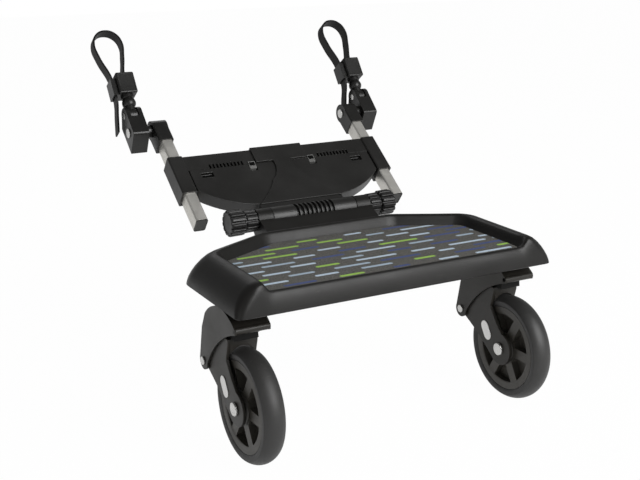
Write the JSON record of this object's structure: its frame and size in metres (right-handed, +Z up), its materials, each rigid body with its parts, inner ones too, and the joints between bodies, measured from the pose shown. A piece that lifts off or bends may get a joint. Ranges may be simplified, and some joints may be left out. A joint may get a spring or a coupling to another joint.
{
  "type": "buggy board",
  "caption": "Ride-on standing board towed behind a stroller: rimmed tray with grip mat on sprung swivel casters, hinged folding arm with sliding tubes and strap connectors.",
  "frame": {"origin": "on the ground under the middle of the whole object's box", "axes": "+X to the rider's right, +Y forward to the stroller, +Z up"},
  "size_m": [0.4, 0.4847, 0.4182],
  "materials": {
    "board_plastic": "satin moulded plastic, fine grain",
    "grip_mat": "gritty speckled grip sheet with coloured strokes",
    "caster_plastic": "satin moulded plastic",
    "wheel_plastic": "satin moulded plastic",
    "tyre": "smooth matt tyre",
    "block_rubber": "soft matt rubber",
    "bright_steel": "plain bright steel",
    "silver_insert": "silver finish, satin",
    "arm_plastic": "satin moulded plastic, fine grain",
    "knob_plastic": "satin moulded plastic",
    "grey_plastic": "satin grey plastic",
    "arm_aluminium": "satin anodised, drawn along the tube",
    "plug_plastic": "satin moulded plastic",
    "connector_plastic": "semi-gloss moulded plastic",
    "strap_rubber": "flexible band, fine ribs"
  },
  "bodies": {
    "board": {"board_tray": "board_plastic", "grip_mat": "grip_mat", "hinge_bracket": "board_plastic", "bracket_screws": "bright_steel", "hinge_rod": "bright_steel", "hinge_washers": "bright_steel", "swivel_bolt_left": "bright_steel", "swivel_bush_left": "wheel_plastic", "swivel_bolt_right": "bright_steel", "swivel_bush_right": "wheel_plastic"},
    "arm": {"centre_body": "arm_plastic", "centre_cover": "arm_plastic"},
    "caster_left": {"caster_bracket_left": "caster_plastic", "fork_pin_left": "bright_steel", "suspension_block_left": "block_rubber"},
    "fork_left": {"fork_left": "caster_plastic", "axle_bolt_left": "bright_steel", "leg_inserts_left": "silver_insert"},
    "wheel_left": {"wheel_hub_left": "wheel_plastic", "tyre_left": "tyre", "wheel_bearings_left": "bright_steel"},
    "knob_left": {"knob_left": "knob_plastic"},
    "slide_left": {"slide_arm_left": "arm_plastic"},
    "pawl_left": {"rack_pawl_left": "grey_plastic"},
    "button_left": {"slide_button_left": "connector_plastic"},
    "tube_left": {"arm_tube_left": "arm_aluminium", "tube_plug_left": "plug_plastic", "tube_cap_left": "connector_plastic", "link_pin_left": "bright_steel"},
    "link_left": {"link_block_left": "connector_plastic", "knuckle_pin_left": "bright_steel"},
    "buckle_left": {"buckle_left": "connector_plastic", "strap_left": "strap_rubber"},
    "caster_right": {"caster_bracket_right": "caster_plastic", "fork_pin_right": "bright_steel", "suspension_block_right": "block_rubber"},
    "fork_right": {"fork_right": "caster_plastic", "axle_bolt_right": "bright_steel", "leg_inserts_right": "silver_insert"},
    "wheel_right": {"wheel_hub_right": "wheel_plastic", "tyre_right": "tyre", "wheel_bearings_right": "bright_steel"},
    "knob_right": {"knob_right": "knob_plastic"},
    "slide_right": {"slide_arm_right": "arm_plastic"},
    "pawl_right": {"rack_pawl_right": "grey_plastic"},
    "button_right": {"slide_button_right": "connector_plastic"},
    "tube_right": {"arm_tube_right": "arm_aluminium", "tube_plug_right": "plug_plastic", "tube_cap_right": "connector_plastic", "link_pin_right": "bright_steel"},
    "link_right": {"link_block_right": "connector_plastic", "knuckle_pin_right": "bright_steel"},
    "buckle_right": {"buckle_right": "connector_plastic", "strap_right": "strap_rubber"}
  },
  "joints": [
    {"name": "arm_hinge", "type": "hinge", "parent": "board", "child": "arm", "pos_m": [0, 0, 0.209], "axis": [1, 0, 0], "range_deg": [-35, 75]},
    {"name": "caster_swivel_left", "type": "hinge", "parent": "board", "child": "caster_left", "pos_m": [-0.1723, -0.146, 0.165], "axis": [0, 0, 1], "continuous": true},
    {"name": "fork_spring_left", "type": "hinge", "parent": "caster_left", "child": "fork_left", "pos_m": [-0.1723, -0.106, 0.091], "axis": [1, 0, 0], "range_deg": [-4.5, 0], "stiffness_Nm_per_rad": 20, "springref_deg": 9.74, "deforming": ["suspension_block_left"]},
    {"name": "wheel_spin_left", "type": "hinge", "parent": "fork_left", "child": "wheel_left", "pos_m": [-0.1723, -0.1795, 0.0625], "axis": [1, 0, 0], "continuous": true},
    {"name": "knob_turn_left", "type": "hinge", "parent": "board", "child": "knob_left", "pos_m": [-0.095, 0, 0.209], "axis": [1, 0, 0], "continuous": true},
    {"name": "width_slide_left", "type": "slide", "parent": "arm", "child": "slide_left", "axis": [-1, 0, 0], "range_m": [0, 0.045]},
    {"name": "pawl_press_left", "type": "slide", "parent": "arm", "child": "pawl_left", "axis": [0, -0.8039, -0.5948], "range_m": [0, 0.003], "stiffness_N_per_m": 100, "springref_m": -0.002},
    {"name": "button_press_left", "type": "slide", "parent": "arm", "child": "button_left", "axis": [0, 0.5948, -0.8039], "range_m": [0, 0.0025], "stiffness_N_per_m": 100, "springref_m": -0.002},
    {"name": "tube_slide_left", "type": "slide", "parent": "slide_left", "child": "tube_left", "axis": [0, 0.8039, 0.5948], "range_m": [-0.024, 0.04]},
    {"name": "link_pivot_left", "type": "hinge", "parent": "tube_left", "child": "link_left", "pos_m": [-0.1655, 0.15028, 0.29843], "axis": [1, 0, 0], "range_deg": [-60, 60]},
    {"name": "buckle_pivot_left", "type": "hinge", "parent": "link_left", "child": "buckle_left", "pos_m": [-0.1655, 0.1649, 0.31734], "axis": [1, 0, 0], "range_deg": [-30, 45]},
    {"name": "caster_swivel_right", "type": "hinge", "parent": "board", "child": "caster_right", "pos_m": [0.1723, -0.146, 0.165], "axis": [0, 0, 1], "continuous": true},
    {"name": "fork_spring_right", "type": "hinge", "parent": "caster_right", "child": "fork_right", "pos_m": [0.1723, -0.106, 0.091], "axis": [1, 0, 0], "range_deg": [-4.5, 0], "stiffness_Nm_per_rad": 20, "springref_deg": 9.74, "deforming": ["suspension_block_right"]},
    {"name": "wheel_spin_right", "type": "hinge", "parent": "fork_right", "child": "wheel_right", "pos_m": [0.1723, -0.1795, 0.0625], "axis": [1, 0, 0], "continuous": true},
    {"name": "knob_turn_right", "type": "hinge", "parent": "board", "child": "knob_right", "pos_m": [0.095, 0, 0.209], "axis": [1, 0, 0], "continuous": true},
    {"name": "width_slide_right", "type": "slide", "parent": "arm", "child": "slide_right", "axis": [1, 0, 0], "range_m": [0, 0.045]},
    {"name": "pawl_press_right", "type": "slide", "parent": "arm", "child": "pawl_right", "axis": [0, -0.8039, -0.5948], "range_m": [0, 0.003], "stiffness_N_per_m": 100, "springref_m": -0.002},
    {"name": "button_press_right", "type": "slide", "parent": "arm", "child": "button_right", "axis": [0, 0.5948, -0.8039], "range_m": [0, 0.0025], "stiffness_N_per_m": 100, "springref_m": -0.002},
    {"name": "tube_slide_right", "type": "slide", "parent": "slide_right", "child": "tube_right", "axis": [0, 0.8039, 0.5948], "range_m": [-0.024, 0.04]},
    {"name": "link_pivot_right", "type": "hinge", "parent": "tube_right", "child": "link_right", "pos_m": [0.1655, 0.15028, 0.29843], "axis": [1, 0, 0], "range_deg": [-60, 60]},
    {"name": "buckle_pivot_right", "type": "hinge", "parent": "link_right", "child": "buckle_right", "pos_m": [0.1655, 0.1649, 0.31734], "axis": [1, 0, 0], "range_deg": [-30, 45]}
  ]
}
